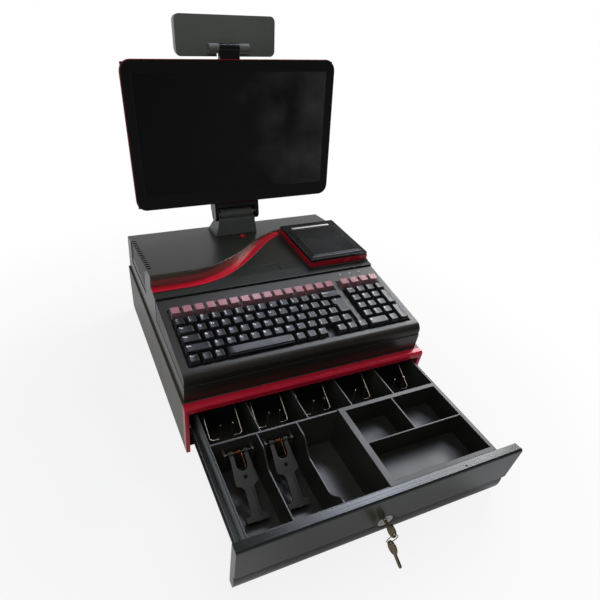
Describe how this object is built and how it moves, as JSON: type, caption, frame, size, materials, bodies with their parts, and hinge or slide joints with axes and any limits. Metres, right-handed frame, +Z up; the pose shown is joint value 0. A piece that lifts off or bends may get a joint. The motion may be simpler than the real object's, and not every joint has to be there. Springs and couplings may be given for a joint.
{
  "type": "point of sale terminal",
  "caption": "Point of sale terminal: tilting monitor, customer display, keyboard and receipt printer on a sliding cash drawer with note clips and coin tray.",
  "frame": {"origin": "on the counter, under the middle of the whole terminal with its drawer open", "axes": "+Y to the rear, +X to the right as seen from the front, +Z up"},
  "size_m": [0.42, 0.7024, 0.5062],
  "materials": {
    "rubber_black": "rubber",
    "case_paint": "satin grey-black paint",
    "red_paint": "satin red paint",
    "slide_steel": "zinc plated",
    "roller_nylon": "turned nylon",
    "plate_steel": "zinc plated",
    "brass_hook": "passivated",
    "box_paint": "satin black paint",
    "fascia_paint": "satin dark grey paint",
    "lock_chrome": "polished",
    "key_steel": "nickel plated",
    "till_plastic": "satin black moulding",
    "clip_wire": "bright wire",
    "lever_plastic": "satin moulding",
    "spring_copper": "coppered wire",
    "cover_plastic": "fine-textured moulding",
    "band_gloss": "glossy metallic band",
    "red_gloss": "glossy red",
    "board": "circuit board",
    "printer_black": "semi-gloss black",
    "printer_red": "semi-gloss red",
    "roller_rubber": "ground rubber",
    "paper": "thermal paper",
    "kb_plastic": "fine-textured moulding",
    "mat_rubber": "silicone rubber",
    "key_red": "glossy red key plastic",
    "clear_cover": "clear moulded cover",
    "key_black": "satin key plastic",
    "lamp": "clear lens",
    "stand_plastic": "satin moulding",
    "shell_plastic": "fine-textured moulding",
    "trim_red": "glossy red",
    "bezel_gloss": "piano black",
    "panel": "dark switched-off panel",
    "display_plastic": "satin moulding",
    "display_window": "tinted window"
  },
  "bodies": {
    "terminal": {"feet": "rubber_black", "drawer_case": "case_paint", "front_frame": "red_paint", "slide_outer": "slide_steel", "latch_unit": "plate_steel", "base_plate": "plate_steel", "top_cover": "cover_plastic", "step_band": "band_gloss", "accent_stripe": "red_gloss", "mainboard": "board", "printer_body": "printer_black", "printer_frame": "printer_red", "receipt_strip": "paper", "keyboard_base": "cover_plastic", "keyboard_top": "kb_plastic", "switch_mat": "mat_rubber", "indicator_lamps": "lamp", "pedestal": "stand_plastic", "hinge_pin": "lock_chrome"},
    "slide_rollers": {"slide_rollers": "roller_nylon"},
    "drawer": {"slide_inner": "slide_steel", "drawer_box": "box_paint", "drawer_fascia": "fascia_paint", "lock_body": "lock_chrome", "till": "till_plastic", "lever_springs": "spring_copper"},
    "lock": {"lock_plug": "lock_chrome", "key": "key_steel"},
    "key_ring": {"key_ring": "key_steel"},
    "spare_key": {"spare_key": "key_steel"},
    "latch_hook": {"latch_hook": "brass_hook"},
    "coin_tray": {"coin_tray": "till_plastic"},
    "printer_lid": {"printer_lid": "printer_black"},
    "platen_roller": {"platen_roller": "roller_rubber"},
    "paper_roll": {"paper_roll": "paper"},
    "power_button": {"power_button": "red_gloss"},
    "monitor": {"monitor_bracket": "stand_plastic", "monitor_shell": "shell_plastic", "monitor_trim": "trim_red", "monitor_bezel": "bezel_gloss", "picture_panel": "panel", "display_stalk": "stand_plastic"},
    "customer_display": {"customer_display": "display_plastic", "display_window": "display_window"},
    "wire_clip_1": {"wire_clip_1": "clip_wire"},
    "wire_clip_2": {"wire_clip_2": "clip_wire"},
    "wire_clip_3": {"wire_clip_3": "clip_wire"},
    "wire_clip_4": {"wire_clip_4": "clip_wire"},
    "wire_clip_5": {"wire_clip_5": "clip_wire"},
    "lever_clip_1": {"lever_clip_1": "lever_plastic"},
    "lever_clip_2": {"lever_clip_2": "lever_plastic"},
    "keys_red": {"keys_red": "key_red", "key_covers": "clear_cover"},
    "keys_number": {"keys_number": "key_black"},
    "keys_tab_row": {"keys_tab_row": "key_black"},
    "keys_caps_row": {"keys_caps_row": "key_black"},
    "keys_shift_row": {"keys_shift_row": "key_black"},
    "keys_bottom_row": {"keys_bottom_row": "key_black"},
    "key_space": {"key_space": "key_black"},
    "keys_pad": {"keys_pad": "key_black"}
  },
  "joints": [
    {"name": "drawer_slide", "type": "slide", "parent": "terminal", "child": "drawer", "axis": [0, -1, 0], "range_m": [-0.205, 0]},
    {"name": "slide_rollers_spin", "type": "hinge", "parent": "terminal", "child": "slide_rollers", "pos_m": [0, -0.0591, 0.046], "axis": [1, 0, 0], "range_deg": [-1241, 0]},
    {"name": "wire_clip_1_hinge", "type": "hinge", "parent": "drawer", "child": "wire_clip_1", "pos_m": [-0.1508, -0.0446, 0.079], "axis": [-1, 0, 0], "range_deg": [-25, 20]},
    {"name": "wire_clip_2_hinge", "type": "hinge", "parent": "drawer", "child": "wire_clip_2", "pos_m": [-0.0754, -0.0446, 0.079], "axis": [-1, 0, 0], "range_deg": [-25, 20]},
    {"name": "wire_clip_3_hinge", "type": "hinge", "parent": "drawer", "child": "wire_clip_3", "pos_m": [0, -0.0446, 0.079], "axis": [-1, 0, 0], "range_deg": [-25, 20]},
    {"name": "wire_clip_4_hinge", "type": "hinge", "parent": "drawer", "child": "wire_clip_4", "pos_m": [0.0754, -0.0446, 0.079], "axis": [-1, 0, 0], "range_deg": [-25, 20]},
    {"name": "wire_clip_5_hinge", "type": "hinge", "parent": "drawer", "child": "wire_clip_5", "pos_m": [0.1508, -0.0446, 0.079], "axis": [-1, 0, 0], "range_deg": [-25, 20]},
    {"name": "lever_clip_1_hinge", "type": "hinge", "parent": "drawer", "child": "lever_clip_1", "pos_m": [-0.15, -0.1496, 0.0644], "axis": [-1, 0, 0], "range_deg": [0, 50], "stiffness_Nm_per_rad": 0.02, "springref_deg": -57.3, "deforming": ["lever_springs"]},
    {"name": "lever_clip_2_hinge", "type": "hinge", "parent": "drawer", "child": "lever_clip_2", "pos_m": [-0.089, -0.1496, 0.0644], "axis": [-1, 0, 0], "range_deg": [0, 50], "stiffness_Nm_per_rad": 0.02, "springref_deg": -57.3, "deforming": ["lever_springs"]},
    {"name": "coin_tray_lift", "type": "slide", "parent": "drawer", "child": "coin_tray", "axis": [0, 0, 1], "range_m": [0, 0.06]},
    {"name": "lock_turn", "type": "hinge", "parent": "drawer", "child": "lock", "pos_m": [0.003, -0.3021, 0.037], "axis": [0, -1, 0], "range_deg": [0, 90]},
    {"name": "key_ring_swing", "type": "hinge", "parent": "lock", "child": "key_ring", "pos_m": [0.003, -0.3211, 0.0355], "axis": [1, 0, 0], "range_deg": [-20, 20]},
    {"name": "spare_key_swing", "type": "hinge", "parent": "key_ring", "child": "spare_key", "pos_m": [0.003, -0.3211, 0.0185], "axis": [1, 0, 0], "range_deg": [0, 40]},
    {"name": "latch_turn", "type": "hinge", "parent": "terminal", "child": "latch_hook", "pos_m": [0, 0.2989, 0.04], "axis": [1, 0, 0], "range_deg": [0, 16], "stiffness_Nm_per_rad": 0.02, "springref_deg": 34.38},
    {"name": "printer_lid_hinge", "type": "hinge", "parent": "terminal", "child": "printer_lid", "pos_m": [0.135, 0.1173, 0.18499], "axis": [1, 0, 0], "range_deg": [0, 80]},
    {"name": "platen_spin", "type": "hinge", "parent": "printer_lid", "child": "platen_roller", "pos_m": [0.135, 0.2134, 0.177], "axis": [1, 0, 0], "continuous": true},
    {"name": "paper_roll_spin", "type": "hinge", "parent": "terminal", "child": "paper_roll", "pos_m": [0.135, 0.1549, 0.1313], "axis": [1, 0, 0], "continuous": true},
    {"name": "power_button_press", "type": "slide", "parent": "terminal", "child": "power_button", "axis": [0, -0.1392, -0.9903], "range_m": [0, 0.0015], "stiffness_N_per_m": 900, "springref_m": -0.001},
    {"name": "keys_red_press", "type": "slide", "parent": "terminal", "child": "keys_red", "axis": [0, 0.1219, -0.9925], "range_m": [0, 0.0035], "stiffness_N_per_m": 400, "springref_m": -0.002, "deforming": ["switch_mat"]},
    {"name": "keys_number_press", "type": "slide", "parent": "terminal", "child": "keys_number", "axis": [0, 0.1219, -0.9925], "range_m": [0, 0.0035], "stiffness_N_per_m": 400, "springref_m": -0.002, "deforming": ["switch_mat"]},
    {"name": "keys_tab_row_press", "type": "slide", "parent": "terminal", "child": "keys_tab_row", "axis": [0, 0.1219, -0.9925], "range_m": [0, 0.0035], "stiffness_N_per_m": 400, "springref_m": -0.002, "deforming": ["switch_mat"]},
    {"name": "keys_caps_row_press", "type": "slide", "parent": "terminal", "child": "keys_caps_row", "axis": [0, 0.1219, -0.9925], "range_m": [0, 0.0035], "stiffness_N_per_m": 400, "springref_m": -0.002, "deforming": ["switch_mat"]},
    {"name": "keys_shift_row_press", "type": "slide", "parent": "terminal", "child": "keys_shift_row", "axis": [0, 0.1219, -0.9925], "range_m": [0, 0.0035], "stiffness_N_per_m": 400, "springref_m": -0.002, "deforming": ["switch_mat"]},
    {"name": "keys_bottom_row_press", "type": "slide", "parent": "terminal", "child": "keys_bottom_row", "axis": [0, 0.1219, -0.9925], "range_m": [0, 0.0035], "stiffness_N_per_m": 400, "springref_m": -0.002, "deforming": ["switch_mat"]},
    {"name": "key_space_press", "type": "slide", "parent": "terminal", "child": "key_space", "axis": [0, 0.1219, -0.9925], "range_m": [0, 0.0035], "stiffness_N_per_m": 400, "springref_m": -0.002, "deforming": ["switch_mat"]},
    {"name": "keys_pad_press", "type": "slide", "parent": "terminal", "child": "keys_pad", "axis": [0, 0.1219, -0.9925], "range_m": [0, 0.0035], "stiffness_N_per_m": 400, "springref_m": -0.002, "deforming": ["switch_mat"]},
    {"name": "monitor_tilt", "type": "hinge", "parent": "terminal", "child": "monitor", "pos_m": [-0.005, 0.2689, 0.21193], "axis": [-1, 0, 0], "range_deg": [-15, 20]},
    {"name": "customer_display_tilt", "type": "hinge", "parent": "monitor", "child": "customer_display", "pos_m": [-0.0075, 0.32122, 0.46431], "axis": [-1, 0, 0], "range_deg": [-20, 60]}
  ],
  "couplings": [
    {"joint": "slide_rollers_spin", "follows": "drawer_slide", "rad_per_m": 105.26}
  ]
}
